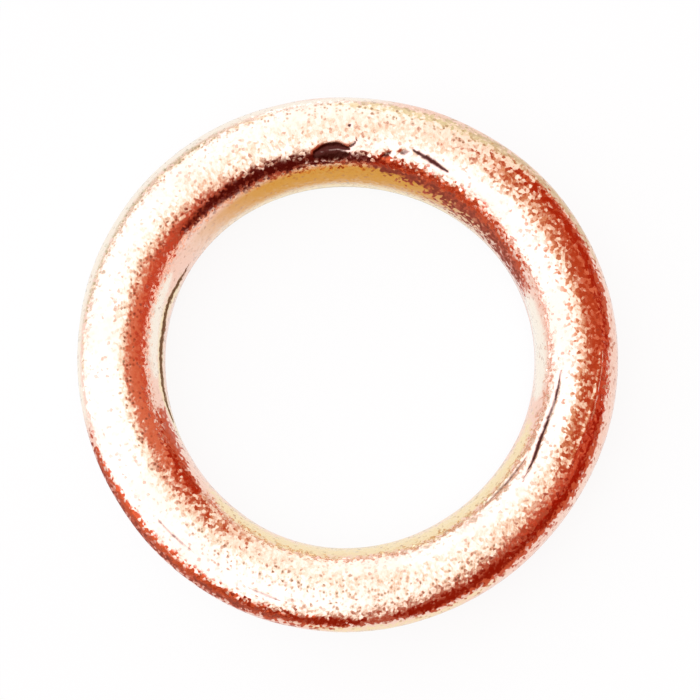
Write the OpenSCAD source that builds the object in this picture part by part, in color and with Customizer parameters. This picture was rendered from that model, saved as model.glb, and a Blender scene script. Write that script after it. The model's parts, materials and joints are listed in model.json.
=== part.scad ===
// Copper crush washer: a hollow ring rolled from one strip of soft sheet.
// The strip starts at its cut edge in the bore, rises as the bore wall, rolls over the
// crown, round the outside and under the seat, and ends in a leg tucked behind the wall.
// Millimetres, +Z up. The origin is on the bore axis, in the plane of the seat.

/* [Ring] */
// Diameter of the bore
bore_d = 14.2; // [6:0.1:40]
// Height of the ring before it is crushed; its outside is rolled full round
ring_h = 3; // [2.6:0.1:4]

/* [Strip] */
// Thickness of the copper sheet
sheet = 0.35; // [0.2:0.01:0.5]
// Outside radius of the bend from the bore wall to the crown
bore_bend_r = 1.5; // [1.1:0.05:1.8]
// Width of the flat seal land on the crown
land_w = 0.2; // [0.1:0.05:1.5]

/* [Seam] */
// Height of the bore wall's cut edge above the seat
edge_h = 0.45; // [0.2:0.05:0.7]
// Gap between the two laps of the seam
seam_gap = 0.05; // [0.02:0.01:0.1]
// Outside radius of the bend that turns the strip up behind the bore wall
tuck_bend_r = 0.6; // [0.5:0.05:0.8]
// Length of the straight leg tucked behind the bore wall
tuck_leg = 0.6; // [0.2:0.05:0.8]

/* [Hidden] */
$fn = 180;
copper = [0.78, 0.40, 0.26];
bore_r = bore_d / 2;
outer_bend_r = ring_h / 2;
bore_wall_h = ring_h - bore_bend_r - edge_h;
// The seat runs from under the outer bend to the tuck, which stands behind the bore wall
seat_w = land_w + bore_bend_r - (sheet + seam_gap) - tuck_bend_r;

// The strip in the order it is folded. A step is [length, 0] for a straight stretch,
// or [outside radius, angle] for a bend to the right.
folds = [
    [bore_wall_h, 0],
    [bore_bend_r, 90],
    [land_w, 0],
    [outer_bend_r, 180],
    [seat_w, 0],
    [tuck_bend_r, 90],
    [tuck_leg, 0]
];

// Where a step starts, on the outside face of the strip: [distance from the axis, height, heading]
function start_of(i) = i == 0 ? [bore_r, edge_h, 90] : end_of(start_of(i - 1), folds[i - 1]);

function end_of(from, fold) =
    fold[1] == 0 ? after_straight(from, fold[0]) : after_bend(from, fold[0], fold[1]);

function after_straight(from, length) = [
    from[0] + length * cos(from[2]),
    from[1] + length * sin(from[2]),
    from[2]
];

function after_bend(from, radius, angle) = [
    from[0] + radius * (sin(from[2]) - sin(from[2] - angle)),
    from[1] - radius * (cos(from[2]) - cos(from[2] - angle)),
    from[2] - angle
];

// A straight stretch of the strip along +X, with its outside face on the X axis
module straight(length) {
    translate([0, -sheet]) square([length, sheet]);
}

// A bend of the strip that starts along +X and turns right
module bend(radius, angle) {
    reach = 2 * radius;
    rays = [90, 90 - angle / 2, 90 - angle];
    translate([0, -radius]) intersection() {
        difference() {
            circle(radius);
            circle(radius - sheet);
        }
        polygon([[0, 0], for (ray = rays) reach * [cos(ray), sin(ray)]]);
    }
}

// The folded section, in the half plane to the right of the axis
module section() {
    for (i = [0 : len(folds) - 1]) {
        from = start_of(i);
        translate([from[0], from[1]]) rotate(from[2]) {
            if (folds[i][1] == 0) straight(folds[i][0]);
            else bend(folds[i][0], folds[i][1]);
        }
    }
}

module crush_washer() {
    color(copper) rotate_extrude() section();
}

crush_washer();
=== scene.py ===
"""Copper crush washer: the modelled ring, its worn copper finish, and a plain studio round it."""
import json
import math
from collections import namedtuple

import bpy
import numpy as np
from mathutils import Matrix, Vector, noise


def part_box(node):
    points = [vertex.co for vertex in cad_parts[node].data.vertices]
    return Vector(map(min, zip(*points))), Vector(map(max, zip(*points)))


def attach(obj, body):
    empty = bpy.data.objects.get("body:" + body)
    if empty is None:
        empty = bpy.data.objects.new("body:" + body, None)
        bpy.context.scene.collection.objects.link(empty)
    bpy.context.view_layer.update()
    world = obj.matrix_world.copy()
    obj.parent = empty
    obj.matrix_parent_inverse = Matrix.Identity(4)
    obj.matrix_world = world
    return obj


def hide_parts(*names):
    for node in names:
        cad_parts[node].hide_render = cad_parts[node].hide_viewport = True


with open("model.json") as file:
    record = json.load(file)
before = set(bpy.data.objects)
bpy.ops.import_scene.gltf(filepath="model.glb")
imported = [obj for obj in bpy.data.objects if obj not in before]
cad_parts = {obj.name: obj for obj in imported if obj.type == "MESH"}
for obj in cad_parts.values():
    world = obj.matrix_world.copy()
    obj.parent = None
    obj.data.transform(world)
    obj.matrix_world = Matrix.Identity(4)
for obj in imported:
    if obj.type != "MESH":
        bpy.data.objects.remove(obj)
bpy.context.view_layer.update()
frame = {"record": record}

# Sizes, from the frame where it has them. The ring is worked out in millimetres.
MM = 0.001
NODE = "crush_washer"
_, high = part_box(NODE)
OUTER_R = high[0] / MM
RING_H = high[2] / MM
BORE_R = next(m["dims"]["r_mm"] for m in frame["record"]["mounts"] if m["name"] == "bore")
SHEET = 0.35
EDGE_H = 0.45
TUCK_GAP = 0.05
TUCK_R = 0.6
TUCK_LEG = 0.6
ROLL_H = RING_H / 2
CROWN_R = (BORE_R + OUTER_R) / 2
LAND_W = 0.2

# Height of the rounded shoulder on the bore's side, and of the one outside
BORE_SHOULDER_H = 1.8
SHOULDER_H = 0.95

# Each shoulder is taller on one stretch: by how much, and the middle and half length in degrees.
# It is at its tallest over a share of the stretch.
OUTER_TALLER = (0.45, 345, 65)
BORE_TALLER = (0.55, 165, 60)
STRETCH_CORE = 0.4

# Mesh fineness: how many steps go round the ring, and about how long a step along the section is
AROUND = 840
STEP_SHOWN = 0.062
STEP_WALL = 0.12
STEP_UNDER = 0.22
STEP_INSIDE = 0.8

# The ring isn't quite round: how many lobes, by how much, and where the first one lies.
# Its bore is set a little aside.
LOBES = 3
LOBE = 0.08
LOBE_AT = 20
BORE_ASIDE = (0.07, 0.04)

# Grain of the rolled and annealed surface: size and height of a bump, and the longer waves under it.
# It fades out towards the seat, over a share of the ring's height.
GRAIN = 0.15
GRAIN_H = 0.006
WAVE = 2.2
WAVE_H = 0.02
SEAT_FADE = 0.2

# Facets of the metal: size, how softly they meet, how far one may lean, and the amounts of painted shade and
# grime at which they lie flat and lean freely. The bumps on them are finer still, and of that height.
FACET = 0.12
FACET_BLEND = 0.35
FACET_LEAN = 0.22
FACET_SHADE_AND_GRIME = (1.0, 0.2)
FINE_BUMP_H = 0.02

# The top, which has the coats and marks, as shares of the ring's height: where it begins and where it is
# full. In the bore it reaches lower.
TOP_BEGINS = 0.45
TOP_FULL = 0.6
TOP_LOWER_IN_BORE = 0.25

# The share of a band over which it fades at each end, and how wide a line is at its ends
BAND_FADE = 0.15
END_WIDTH = 0.4

# Bands of painted shade, dark red, each a line of points (angle in degrees, radius), with its half width and
# strength
PAINTED_RED_SHADE = [
    ([(92, 7.85), (80, 7.72), (70, 7.54), (60, 7.48), (50, 7.42), (40, 7.32), (27, 7.24), (15, 7.15)],
     0.4, 1.0),
    ([(226, 7.78), (217, 7.66), (208, 7.55), (200, 7.48), (191, 7.45)], 0.3, 1.0),
    ([(54, 9.66), (40, 9.7), (26, 9.76), (12, 9.82), (358, 9.84)], 0.26, 1.0),
    ([(356, 9.84), (340, 9.86), (325, 9.88), (308, 9.92), (290, 9.96), (275, 9.99)], 0.28, 1.0),
    ([(280, 9.98), (265, 10.02), (250, 10.08), (235, 10.12), (220, 10.17), (205, 10.22), (192, 10.26)],
     0.28, 1.0),
]

# A plum band of painted shade at the back of the bore's side, given in the same way
PLUM = [
    ([(148, 7.9), (135, 7.82), (122, 7.8), (110, 7.79), (98, 7.8), (88, 7.8), (78, 7.78)], 0.28, 1.0),
]

# Dull dark red bands of painted shade on the bore's edge and on the outer rim, given in the same way
MAROON = [
    ([(88, 7.62), (74, 7.46), (60, 7.34), (45, 7.24), (30, 7.17), (20, 7.14)], 0.22, 0.7),
    ([(192, 10.3), (205, 10.28), (220, 10.24), (235, 10.2), (250, 10.15), (266, 10.1)], 0.13, 0.6),
]

# Salmon speckle, a painted reflection where the light fades into the dark red, given in the same way
PAINTED_SALMON_SPECKLE = [
    ([(66, 9.4), (50, 9.28), (38, 9.25), (24, 9.22), (8, 9.22), (352, 9.2), (338, 9.22), (322, 9.25)],
     0.9, 0.74),
    ([(246, 7.95), (234, 8.0), (222, 8.0), (208, 7.95)], 0.4, 0.6),
]

# Zones with dark pits where the reflected light meets the dark, partly real pits and partly painted shade,
# given in the same way
PITS_AND_PAINTED_SHADE = [
    ([(245, 8.1), (225, 8.2), (205, 8.35), (180, 8.4), (150, 8.4), (120, 8.25)], 0.45, 0.6),
    ([(64, 9.6), (45, 9.3), (25, 9.2), (8, 9.15), (350, 9.1), (335, 9.1), (318, 9.2)], 0.55, 0.65),
    ([(318, 9.25), (295, 9.3), (270, 9.2), (250, 9.1)], 0.5, 0.6),
    ([(285, 8.8), (262, 8.9), (238, 8.75), (225, 8.6)], 0.65, 0.6),
    ([(50, 9.3), (62, 9.45), (76, 9.6), (92, 9.65), (110, 9.75), (130, 9.85), (150, 9.9), (168, 10.0)],
     0.3, 0.6),
]

# Straw coloured stretches of the edges, a painted reflection, given in the same way
STRAW = [
    ([(250, 10.22), (270, 10.24), (290, 10.26), (312, 10.28)], 0.16, 0.7),
    ([(146, 7.22), (165, 7.24), (178, 7.24), (192, 7.22), (212, 7.2)], 0.12, 1.0),
    ([(214, 7.3), (236, 7.4), (258, 7.4), (285, 7.35), (305, 7.4), (330, 7.4), (352, 7.3)], 0.36, 1.0),
]

# Tan stretches of the outer rim, a painted reflection, given in the same way
TAN = [
    ([(14, 10.2), (28, 10.13), (42, 10.06), (56, 9.98), (70, 9.86), (84, 9.86), (100, 10.0)], 0.3, 1.0),
    ([(100, 9.9), (115, 9.88), (130, 9.9), (150, 10.0), (172, 10.12), (192, 10.15)], 0.22, 0.6),
]

# An olive line of painted shade on the bore's edge, given in the same way
OLIVE = [
    ([(206, 7.19), (192, 7.2), (181, 7.21), (172, 7.21), (160, 7.21), (142, 7.22)], 0.055, 1.0),
]

# Painted highlights on the edges, given in the same way
PAINTED_EDGE_HIGHLIGHTS = [
    ([(204, 10.28), (185, 10.25), (165, 10.22), (140, 10.18), (115, 10.15), (90, 10.15), (72, 10.2)],
     0.2, 1.0),
    ([(345, 7.35), (357, 7.28), (10, 7.22), (24, 7.18)], 0.3, 1.0),
    ([(150, 7.5), (165, 7.48), (178, 7.45), (188, 7.4)], 0.2, 1.0),
]

# Marks, each a line of points (angle in degrees, radius), with its half width, depth and darkness, the
# darkness being painted shade in the dents and creases with some grime: the dent and what lies round it, the
# scratch at the back, the crease at the right, and smaller lines
MARKS = [
    ([(99, 8.0), (96, 8.14), (93, 8.17), (89.5, 8.06)], 0.17, 0.06, 1.1),
    ([(99, 7.88), (94, 7.9), (90, 7.86)], 0.25, 0.03, 0.85),
    ([(103, 7.68), (98, 7.62), (92, 7.6)], 0.06, -0.03, 0.0),
    ([(89.8, 8.08), (88.4, 8.22), (87.4, 8.4)], 0.07, 0.03, 0.8),
    ([(80, 7.9), (78, 8.07)], 0.15, 0.05, 0.62),
    ([(75.5, 8.14), (73.4, 8.28)], 0.15, 0.05, 0.62),
    ([(72.5, 8.38), (67.3, 8.22), (61.5, 8.08)], 0.125, 0.04, 0.75),
    ([(89.8, 8.94), (89, 9.0)], 0.09, 0.04, 0.8),
    ([(356, 8.02), (348.5, 7.98), (341, 7.92), (335.6, 7.96), (331.6, 8.05), (324, 8.2)], 0.1, 0.03, 0.62),
    ([(354, 8.0), (351, 7.99), (347, 7.97)], 0.08, 0.01, 0.7),
    ([(342, 7.92), (336, 7.95), (331, 8.06), (327, 8.13)], 0.085, 0.015, 0.85),
    ([(331, 7.8), (322, 7.74), (312, 7.72)], 0.08, 0.02, 0.5),
    ([(1, 9.56), (354.6, 9.49), (346.3, 9.44), (339.6, 9.39), (333, 9.42)], 0.08, -0.045, 0.0),
    ([(220, 9.53), (226, 9.48), (233, 9.45)], 0.08, 0.03, 0.5),
    ([(247, 9.5), (255, 9.55)], 0.08, 0.03, 0.5),
]

# Colours laid on the copper in this order, most of them painted light: colour, how spotty, the amounts at
# which each begins to show and is full, and its bands. The painted shade and grime of the marks come from
# the marks instead.
Coat = namedtuple("Coat", "colour spottiness begin full bands")
COATS_AND_PAINTED_LIGHT = {
    "straw": Coat((0.94, 0.77, 0.48, 1), 0.5, 0.25, 0.9, STRAW),
    "tan": Coat((0.68, 0.5, 0.3, 1), 0.9, 0.3, 1.0, TAN),
    "worn": Coat((0.97, 0.88, 0.76, 1), 0.3, 0.2, 0.9, PAINTED_EDGE_HIGHLIGHTS),
    "olive": Coat((0.2, 0.14, 0.06, 1), 0.5, 0.25, 0.75, OLIVE),
    "pitted": Coat((0.4, 0.25, 0.16, 1), 1.0, 0.45, 1.0, PITS_AND_PAINTED_SHADE),
    "rust": Coat((0.66, 0.22, 0.11, 1), 0.8, 0.26, 0.86, PAINTED_SALMON_SPECKLE),
    "tarnish": Coat((0.56, 0.085, 0.03, 1), 0.8, 0.35, 0.75, PAINTED_RED_SHADE),
    "maroon": Coat((0.22, 0.03, 0.008, 1), 0.7, 0.2, 0.9, MAROON),
    "plum": Coat((0.17, 0.035, 0.03, 1), 0.7, 0.2, 0.9, PLUM),
    "grime": Coat((0.065, 0.014, 0.011, 1), 0.15, 0.2, 0.7, []),
}

# The bands of painted shade that aren't metal, and how much rougher they are than it
DULL_PAINTED_SHADE = ("olive", "maroon")
DULL_ROUGHNESS = 0.75

# How far from a facet's middle, as a share of its size, a pit begins and is full
PIT_EDGE = (0.6, 0.15)

# The numbers of a colour mix's sockets: its share and its two colours, and its result
MIX_INPUTS = (0, 6, 7)
MIX_OUTPUT = 2


def line(start, end, step):
    """Points from start up to, but not including, end."""
    start, end = np.array(start, float), np.array(end, float)
    count = max(1, round(np.linalg.norm(end - start) / step))
    return [tuple(start + (end - start) * k / count) for k in range(count)]


def roll(centre, width, height, begin, finish, step):
    """Points on an ellipse of that half width and height, between two angles, the last one left out."""
    samples = 400
    fine = np.radians(np.linspace(begin, finish, samples))
    x = centre[0] + width * np.cos(fine)
    z = centre[1] + height * np.sin(fine)
    length = np.concatenate([[0], np.cumsum(np.hypot(np.diff(x), np.diff(z)))])
    count = max(2, round(length[-1] / step))
    at = np.linspace(0, length[-1], count + 1)[:-1]
    return list(zip(np.interp(at, length, x), np.interp(at, length, z)))


def section():
    """The folded strip's closed outline as (radius, height): its outside face, then back along its inside.

    With it come the number of points on the bore's side of the outside face, and on all of that face.
    """
    tuck_x = BORE_R + SHEET + TUCK_GAP
    in_x, out_x = CROWN_R - LAND_W / 2, CROWN_R + LAND_W / 2
    bore_z, outer_z = RING_H - BORE_SHOULDER_H, RING_H - SHOULDER_H
    outside = line((BORE_R, EDGE_H), (BORE_R, bore_z), STEP_WALL)
    outside += roll((CROWN_R, bore_z), CROWN_R - BORE_R, BORE_SHOULDER_H, 180, 90, STEP_SHOWN)
    bore_side = len(outside)
    outside += roll((CROWN_R, outer_z), OUTER_R - CROWN_R, SHOULDER_H, 90, 0, STEP_SHOWN)
    outside += roll((out_x, outer_z), OUTER_R - out_x, outer_z, 0, -90, STEP_UNDER)
    outside += line((out_x, 0), (tuck_x + TUCK_R, 0), STEP_UNDER)
    outside += roll((tuck_x + TUCK_R, TUCK_R), TUCK_R, TUCK_R, 270, 180, STEP_UNDER)
    outside += line((tuck_x, TUCK_R), (tuck_x, TUCK_R + TUCK_LEG), STEP_UNDER)
    leg_top = TUCK_R + TUCK_LEG
    thin = TUCK_R - SHEET
    inside = [(tuck_x, leg_top), (tuck_x + SHEET, leg_top)]
    inside += roll((tuck_x + TUCK_R, TUCK_R), thin, thin, 180, 270, STEP_INSIDE)
    round_r = ROLL_H - SHEET
    inside += roll((out_x, ROLL_H), round_r, round_r, -90, 90, STEP_INSIDE)
    inside += roll((in_x, ROLL_H), round_r, round_r, 90, 180, STEP_INSIDE)
    inside += line((BORE_R + SHEET, ROLL_H), (BORE_R + SHEET, EDGE_H), STEP_INSIDE)
    inside.append((BORE_R + SHEET, EDGE_H))
    return np.array(outside + inside), bore_side, len(outside)


def ramp(value, begin, end):
    """A smooth step from 0 at begin to 1 at end."""
    t = np.clip((value - begin) / (end - begin), 0, 1)
    return t * t * (3 - 2 * t)


def spot(angle, radius):
    """A place seen from above, from its angle in degrees and its radius."""
    turn = math.radians(angle)
    return np.array([radius * math.cos(turn), radius * math.sin(turn)])


def curve(path, steps=10):
    """A smooth line through the points of a path, seen from above."""
    stops = [spot(angle, radius) for angle, radius in path]
    stops = [2 * stops[0] - stops[1]] + stops + [2 * stops[-1] - stops[-2]]
    track = []
    for a, b, c, d in zip(stops, stops[1:], stops[2:], stops[3:]):
        bend = 2 * a - 5 * b + 4 * c - d
        twist = 3 * (b - c) + d - a
        for t in np.arange(steps) / steps:
            track.append(b + 0.5 * t * (c - a + t * (bend + t * twist)))
    return np.array(track + [stops[-2]])


def along(plan, path, half_width, fade):
    """How near each point lies to a line seen from above: 1 on it, fading to 0 beside it.

    The line is finer at its ends, and fades out over that share of it at each end.
    """
    track = curve(path)
    aside = np.full(plan.shape[:-1], np.inf)
    at = np.zeros(plan.shape[:-1])
    for k, (begin, end) in enumerate(zip(track, track[1:])):
        step = end - begin
        share = np.clip((plan - begin) @ step / (step @ step), 0, 1)
        gap = np.linalg.norm(plan - begin - share[..., None] * step, axis=-1)
        at = np.where(gap < aside, (k + share) / (len(track) - 1), at)
        aside = np.minimum(aside, gap)
    width = half_width * (END_WIDTH + (1 - END_WIDTH) * np.sin(math.pi * at))
    near = np.exp(-(aside / width) ** 2)
    return near * ramp(np.minimum(at, 1 - at), 0, fade) if fade else near


def lumps(points, size):
    """Smooth bumps of about that size, between about -1 and 1."""
    flat = [noise.noise(Vector(p) / size) for p in points.reshape(-1, 3)]
    return np.array(flat).reshape(points.shape[:-1])


def stretch(degrees, middle, half):
    """1 in the middle of a stretch of the ring, fading to 0 at its ends."""
    away = np.abs((degrees - middle + 180) % 360 - 180)
    return ramp(away, half, half * STRETCH_CORE)


def taller(height, shoulder, foot, degrees, rise, middle, half):
    """Heights of one side, with a shoulder that is taller on a stretch; the crown and the foot stay."""
    depth = RING_H - height
    most = RING_H - foot
    tall = (shoulder + rise * stretch(degrees, middle, half))[:, None]
    upper = depth * tall / shoulder
    lower = tall + (depth - shoulder) * (most - tall) / (most - shoulder)
    return RING_H - np.where(depth < shoulder, upper, lower)


def bands_and_marks(plan, on_top):
    """The amount of each coat, most of them painted light, at every point, and the depth of the marks there.
    """
    top = on_top > 0
    coats = {name: np.zeros(plan.shape[:-1]) for name in COATS_AND_PAINTED_LIGHT}
    depths = np.zeros(plan.shape[:-1])

    def cover(name, near, strength):
        coats[name][:, top] = np.maximum(coats[name][:, top], strength * near * on_top[top])

    for name, coat in COATS_AND_PAINTED_LIGHT.items():
        for path, half_width, strength in coat.bands:
            cover(name, along(plan[:, top], path, half_width, BAND_FADE), strength)
    # A mark's darkness is painted shade in the dents and creases, with some grime.
    for path, half_width, depth, darkness in MARKS:
        near = along(plan[:, top], path, half_width, 0)
        depths[:, top] += depth * near
        cover("grime", near, darkness)
    return coats, depths


def ring_object(points, coats):
    """The ring as an object: its points joined into a closed mesh, with the coats and painted light as
    attributes.
    """
    around, count = points.shape[:2]
    i, j = np.meshgrid(np.arange(around), np.arange(count), indexing="ij")
    i2, j2 = (i + 1) % around, (j + 1) % count
    corners = [i * count + j, i * count + j2, i2 * count + j2, i2 * count + j]
    quads = np.stack(corners, -1).reshape(-1, 4)
    mesh = bpy.data.meshes.new("washer_ring")
    mesh.from_pydata((points.reshape(-1, 3) * MM).tolist(), [], quads.tolist())
    mesh.validate()
    mesh.shade_smooth()
    for name, values in coats.items():
        mesh.attributes.new(name, "FLOAT", "POINT").data.foreach_set("value", values.ravel())
    ring = bpy.data.objects.new("washer_ring", mesh)
    bpy.context.collection.objects.link(ring)
    return ring


def make_ring():
    """The ring: the section carried round the axis, then grained, coated with its painted light, and marked.
    """
    outline, bore_side, shown = section()
    count = len(outline)
    on_face = np.arange(count) < shown
    in_bore = np.arange(count) < bore_side
    on_outside = on_face & (outline[:, 0] > CROWN_R)
    side = np.roll(outline, -1, axis=0) - np.roll(outline, 1, axis=0)
    side /= np.linalg.norm(side, axis=1)[:, None]
    out_r, out_z = -side[:, 1], side[:, 0]

    turns = np.linspace(0, 2 * math.pi, AROUND, endpoint=False)
    degrees = np.degrees(turns)
    ways = np.stack([np.cos(turns), np.sin(turns)], -1)
    plan = outline[None, :, 0, None] * ways[:, None, :]
    height = np.broadcast_to(outline[:, 1], (AROUND, count))

    points = np.concatenate([plan, height[..., None]], -1)
    relief = GRAIN_H * lumps(points, GRAIN) + WAVE_H * lumps(points, WAVE)
    relief *= on_face * ramp(outline[:, 1], 0, RING_H * SEAT_FADE)
    reach = outline[:, 1] + in_bore * RING_H * TOP_LOWER_IN_BORE
    on_top = on_face * ramp(reach, RING_H * TOP_BEGINS, RING_H * TOP_FULL)
    coats, depths = bands_and_marks(plan, on_top)
    relief -= depths

    height = np.where(in_bore, taller(height, BORE_SHOULDER_H, EDGE_H, degrees, *BORE_TALLER), height)
    height = np.where(on_outside, taller(height, SHOULDER_H, 0, degrees, *OUTER_TALLER), height)
    height = height + relief * out_z
    lobes = LOBE * np.cos(LOBES * np.radians(degrees - LOBE_AT))
    aside = (ways @ BORE_ASIDE)[:, None] * (OUTER_R - outline[:, 0]) / (OUTER_R - BORE_R)
    radius = outline[:, 0] + relief * out_r + lobes[:, None] + aside
    return ring_object(np.concatenate([radius[..., None] * ways[:, None, :], height[..., None]], -1), coats)


def feed(tree, socket, value):
    """Links a node's output to a socket, or sets the socket to a plain value."""
    if isinstance(value, bpy.types.NodeSocket):
        tree.links.new(value, socket)
    else:
        socket.default_value = value


def new_nodes(owner):
    """Empties the nodes of a material or world, and gives a short way to add one with its inputs."""
    owner.use_nodes = True
    tree = owner.node_tree
    tree.nodes.clear()

    def add(kind, settings=None, numbered=(), **inputs):
        node = tree.nodes.new(kind)
        for name, value in (settings or {}).items():
            setattr(node, name, value)
        for number, value in enumerate(numbered):
            feed(tree, node.inputs[number], value)
        for name, value in inputs.items():
            feed(tree, node.inputs[name.replace("_", " ")], value)
        return node
    return add


def step_node(add, value, begin, end):
    """A smooth step from 0 to 1 over that range, as a node's output."""
    smooth = {"interpolation_type": "SMOOTHSTEP"}
    return add("ShaderNodeMapRange", smooth, Value=value, From_Min=begin, From_Max=end).outputs["Result"]


def math_node(add, operation, *values):
    """The result of one operation on numbers."""
    return add("ShaderNodeMath", {"operation": operation}, values).outputs[0]


def vector_node(add, operation, *values, **inputs):
    """The result of one operation on vectors: a number for a length or dot product, else a vector."""
    node = add("ShaderNodeVectorMath", {"operation": operation}, values, **inputs)
    return node.outputs["Value" if operation in ("LENGTH", "DOT_PRODUCT") else "Vector"]


def mix_node(add, share, first, second):
    """A colour between two, by share."""
    node = add("ShaderNodeMix", {"data_type": "RGBA"})
    for number, value in zip(MIX_INPUTS, (share, first, second)):
        feed(node.id_data, node.inputs[number], value)
    return node.outputs[MIX_OUTPUT]


def copper_and_painted_bore(add, place, fine, patch):
    """The metal's own colour, mottled and speckled, with a painted reflection in gold high up in the back of
    the bore.
    """
    bright = (0.955, 0.68, 0.57, 1)
    warm = (0.95, 0.63, 0.51, 1)
    pale = (0.9, 0.6, 0.48, 1)
    gold = (0.68, 0.33, 0.062, 1)
    straw = COATS_AND_PAINTED_LIGHT["straw"].colour

    # Where each colour begins and is full. The gold, a painted reflection like the straw below it, has its
    # edges millimetres out from the bore's wall, at shares of the bore's radius towards the back, and at
    # millimetres of height.
    warm_edge = (0.4, 0.65)
    pale_edge = (0.04, 0.2)
    gold_depth = (0.55, 0.3)
    gold_back = (0.5, 0.97)
    gold_height = (0.6, 1.5)

    dip = math_node(add, "SUBTRACT", 0.5, fine)
    colour = mix_node(add, step_node(add, patch, *warm_edge), bright, warm)
    colour = mix_node(add, step_node(add, dip, *pale_edge), colour, pale)

    x, y, z = add("ShaderNodeSeparateXYZ", Vector=place).outputs
    flat = add("ShaderNodeCombineXYZ", X=x, Y=y).outputs[0]
    radius = vector_node(add, "LENGTH", flat)
    # The bore's wall gets a painted reflection: gold high up, straw below.
    in_bore = step_node(add, radius, *[(BORE_R + depth) * MM for depth in gold_depth])
    at_back = step_node(add, y, *[share * BORE_R * MM for share in gold_back])
    wall = mix_node(add, step_node(add, z, *[height * MM for height in gold_height]), straw, gold)
    return mix_node(add, math_node(add, "MULTIPLY", in_bore, at_back), colour, wall)


def coated(add, colour, facet):
    """The colour with the coats laid on it in turn, most of them painted light, spotty by facets, and the
    share that is dull.
    """
    chance = add("ShaderNodeSeparateXYZ", Vector=facet.outputs["Color"]).outputs[0]
    chance = math_node(add, "SUBTRACT", chance, 0.5)
    pit = step_node(add, facet.outputs["Distance"], *PIT_EDGE)
    dull = 0.0
    for name, coat in COATS_AND_PAINTED_LIGHT.items():
        amount = add("ShaderNodeAttribute", {"attribute_name": name}).outputs["Fac"]
        amount = math_node(add, "MULTIPLY_ADD", chance, coat.spottiness, amount)
        share = step_node(add, amount, coat.begin, coat.full)
        if name == "pitted":
            share = math_node(add, "MULTIPLY", share, pit)
        colour = mix_node(add, share, colour, coat.colour)
        if name in DULL_PAINTED_SHADE:
            dull = math_node(add, "MAXIMUM", dull, share)
    return colour, dull


def facet_normal(add, facet, fine):
    """The normal with a fine bump on it, and with each facet leaning a little its own way."""
    bump = add("ShaderNodeBump", Height=fine, Strength=1.0, Distance=FINE_BUMP_H * MM).outputs["Normal"]
    grime = add("ShaderNodeAttribute", {"attribute_name": "grime"}).outputs["Fac"]
    most = math_node(add, "MULTIPLY", step_node(add, grime, *FACET_SHADE_AND_GRIME), FACET_LEAN)
    lean = vector_node(add, "SUBTRACT", facet.outputs["Color"], (0.5, 0.5, 0.5))
    lean = vector_node(add, "SCALE", lean, Scale=most)
    return vector_node(add, "NORMALIZE", vector_node(add, "ADD", lean, bump))


def copper():
    """Soft copper: finely grained bright metal with a painted gold reflection in the bore, and its coats,
    mostly painted light, laid on.
    """
    material = bpy.data.materials.new("soft_copper")
    add = new_nodes(material)
    fine_scale = 4600.0
    patch_scale = 420.0
    patch_range = (0.3, 0.7)
    roughness = (0.17, 0.24)

    place = add("ShaderNodeTexCoord").outputs["Object"]
    fine = add("ShaderNodeTexNoise", Vector=place, Scale=fine_scale, Detail=2.0, Roughness=0.5)
    fine = fine.outputs["Fac"]
    patch = add("ShaderNodeTexNoise", Vector=place, Scale=patch_scale, Detail=2.0).outputs["Fac"]
    facet = add("ShaderNodeTexVoronoi", {"feature": "SMOOTH_F1"}, Vector=place,
                Scale=1 / (FACET * MM), Smoothness=FACET_BLEND)

    colour, dull = coated(add, copper_and_painted_bore(add, place, fine, patch), facet)
    polish = add("ShaderNodeMapRange", Value=patch, From_Min=patch_range[0], From_Max=patch_range[1],
                 To_Min=roughness[0], To_Max=roughness[1]).outputs["Result"]
    rough = math_node(add, "MULTIPLY_ADD", dull, DULL_ROUGHNESS, polish)
    metal = math_node(add, "SUBTRACT", 1.0, dull)
    shader = add("ShaderNodeBsdfPrincipled", Base_Color=colour, Metallic=metal, Roughness=rough,
                 Normal=facet_normal(add, facet, fine))
    add("ShaderNodeOutputMaterial", Surface=shader.outputs["BSDF"])
    return material


def make_floor():
    """A wide pale floor, a hair under the seat. It looks white, with the ring's shadow faint on it."""
    gap = 0.01 * MM
    whiteness = 0.9
    bpy.ops.mesh.primitive_circle_add(vertices=96, radius=3.0, fill_type="NGON", location=(0, 0, -gap))
    floor = bpy.context.object
    floor.name = "floor"
    material = bpy.data.materials.new("floor_white")
    add = new_nodes(material)
    paint = add("ShaderNodeBsdfDiffuse", Color=(0.85, 0.85, 0.85, 1))
    glow = add("ShaderNodeEmission", Color=(1, 1, 1, 1), Strength=1.0)
    ray = add("ShaderNodeLightPath").outputs
    seen = math_node(add, "ADD", ray["Is Camera Ray"], ray["Is Glossy Ray"])
    seen = math_node(add, "ADD", seen, ray["Is Transmission Ray"])
    share = math_node(add, "MULTIPLY", seen, whiteness)
    both = add("ShaderNodeMixShader", None, (share, paint.outputs[0], glow.outputs[0]))
    add("ShaderNodeOutputMaterial", Surface=both.outputs[0])
    floor.data.materials.append(material)


def toward(azimuth, elevation):
    """A unit vector that points that way, from degrees."""
    turn, rise = math.radians(azimuth), math.radians(elevation)
    return (math.cos(rise) * math.cos(turn), math.cos(rise) * math.sin(turn), math.sin(rise))


def edge_node(add, near, begin, full):
    """A smooth step between two angles from a direction, given the cosine of the angle from it."""
    return step_node(add, near, math.cos(math.radians(begin)), math.cos(math.radians(full)))


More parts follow.
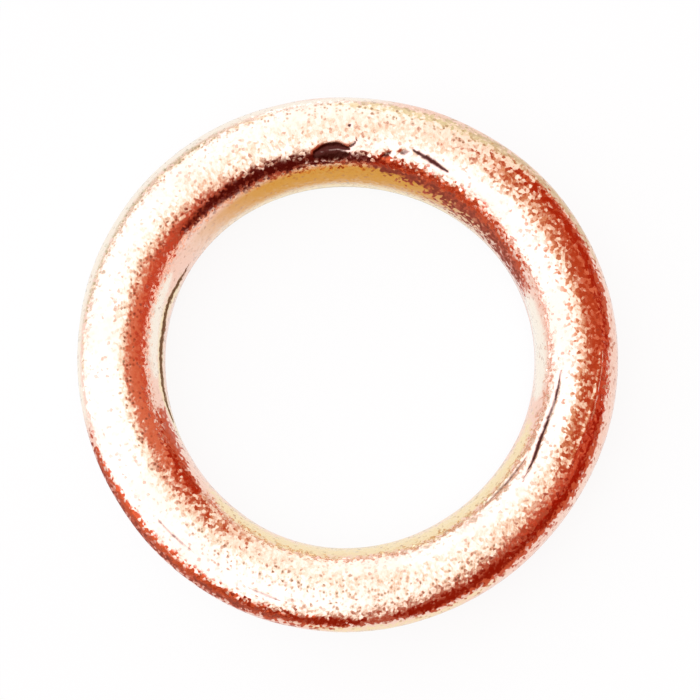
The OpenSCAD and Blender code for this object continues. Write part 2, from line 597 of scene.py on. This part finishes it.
def make_world():
    """One large soft light, up at the left and back, in warm and mostly dark surroundings.

    The light has a halo. A cap of the sky at the right stays dark.
    """
    world = bpy.data.worlds.new("studio")
    bpy.context.scene.world = world
    add = new_nodes(world)

    bright = (1.68, 1.74, 1.92, 1)
    halo = (1.08, 1.14, 0.95, 1)
    back_halo = (1.5, 1.6, 1.66, 1)
    cream = (1.1, 1.18, 1.05, 1)
    tan = (0.72, 0.75, 0.64, 1)
    salmon = (0.72, 0.2, 0.1, 1)
    red = (0.58, 0.075, 0.03, 1)
    brown = (0.44, 0.085, 0.04, 1)

    # Directions, with the angles from them at which the light and its halo begin and are full.
    # The light has two middles, and is a little smaller round the one at the back.
    middle = toward(156, 51)
    back_middle = toward(104, 50)
    back_smaller = 0.06
    light_edge = (74, 50)
    halo_edge = (86, 62)
    cap = toward(25, 20)
    light_cap_edge = (54, 80)
    halo_cap_edge = (34, 62)

    # Other edges: the salmon's by nearness to the light, one along a slant, and the rest along an axis
    salmon_edge = (0.0, 0.4)
    front_edge = (-0.3, -0.6)
    slant = 1.28
    slant_edge = (-0.15, 0.25)
    back_edge = (-0.1, 0.2)
    back_halo_edge = (0.3, 0.75)
    low_edge = (0.4, 0.15)
    low_back_edge = (0.1, 0.4)
    low_left_edge = (-0.1, -0.4)

    way = add("ShaderNodeTexCoord").outputs["Generated"]
    x, y, z = add("ShaderNodeSeparateXYZ", Vector=way).outputs
    near_back = math_node(add, "SUBTRACT", vector_node(add, "DOT_PRODUCT", way, back_middle), back_smaller)
    near = math_node(add, "MAXIMUM", vector_node(add, "DOT_PRODUCT", way, middle), near_back)
    near_cap = vector_node(add, "DOT_PRODUCT", way, cap)

    sky = mix_node(add, step_node(add, near, *salmon_edge), red, salmon)
    sky = mix_node(add, step_node(add, y, *front_edge), sky, brown)
    behind = math_node(add, "SUBTRACT", y, math_node(add, "MULTIPLY", x, slant))
    at_back = step_node(add, behind, *slant_edge)
    at_back = math_node(add, "MULTIPLY", at_back, step_node(add, y, *back_edge))
    sky = mix_node(add, at_back, sky, cream)

    in_halo = edge_node(add, near, *halo_edge)
    in_halo = math_node(add, "MULTIPLY", in_halo, edge_node(add, near_cap, *halo_cap_edge))
    sky = mix_node(add, in_halo, sky, mix_node(add, step_node(add, y, *back_halo_edge), halo, back_halo))
    in_light = edge_node(add, near, *light_edge)
    in_light = math_node(add, "MULTIPLY", in_light, edge_node(add, near_cap, *light_cap_edge))
    sky = mix_node(add, in_light, sky, bright)

    low_back = step_node(add, z, *low_edge)
    low_back = math_node(add, "MULTIPLY", low_back, step_node(add, y, *low_back_edge))
    low_left = math_node(add, "MULTIPLY", low_back, step_node(add, x, *low_left_edge))
    sky = mix_node(add, low_left, sky, tan)
    back = add("ShaderNodeBackground", Color=sky, Strength=1.0)
    add("ShaderNodeOutputWorld", Surface=back.outputs["Background"])


def make_camera():
    """The photograph's camera: from above, a little towards the front."""
    ring_px = 539.5
    centre_px = (347.0, 361.8)
    frame_px = 700.0
    px_per_mm = ring_px / (2 * OUTER_R)
    elevation = math.radians(80)
    distance = 130.0
    data = bpy.data.cameras.new("camera")
    data.sensor_width = 36.0
    data.lens = data.sensor_width * distance / (frame_px / px_per_mm)
    data.clip_start = 0.001
    camera = bpy.data.objects.new("camera", data)
    bpy.context.collection.objects.link(camera)
    up = np.array([0, math.sin(elevation), math.cos(elevation)])
    view = np.array([0, -math.cos(elevation), math.sin(elevation)])
    aside = (frame_px / 2 - centre_px[0]) / px_per_mm
    above = (centre_px[1] - frame_px / 2) / px_per_mm
    aim = np.array([aside, 0, RING_H / 2]) + up * above
    camera.location = (aim + view * distance) * MM
    camera.rotation_euler = (math.pi / 2 - elevation, 0, 0)
    bpy.context.scene.camera = camera


ring = make_ring()
ring.data.materials.append(copper())
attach(ring, "root")
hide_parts(NODE)

make_floor()
make_world()
make_camera()
bpy.context.scene.view_settings.view_transform = "Standard"
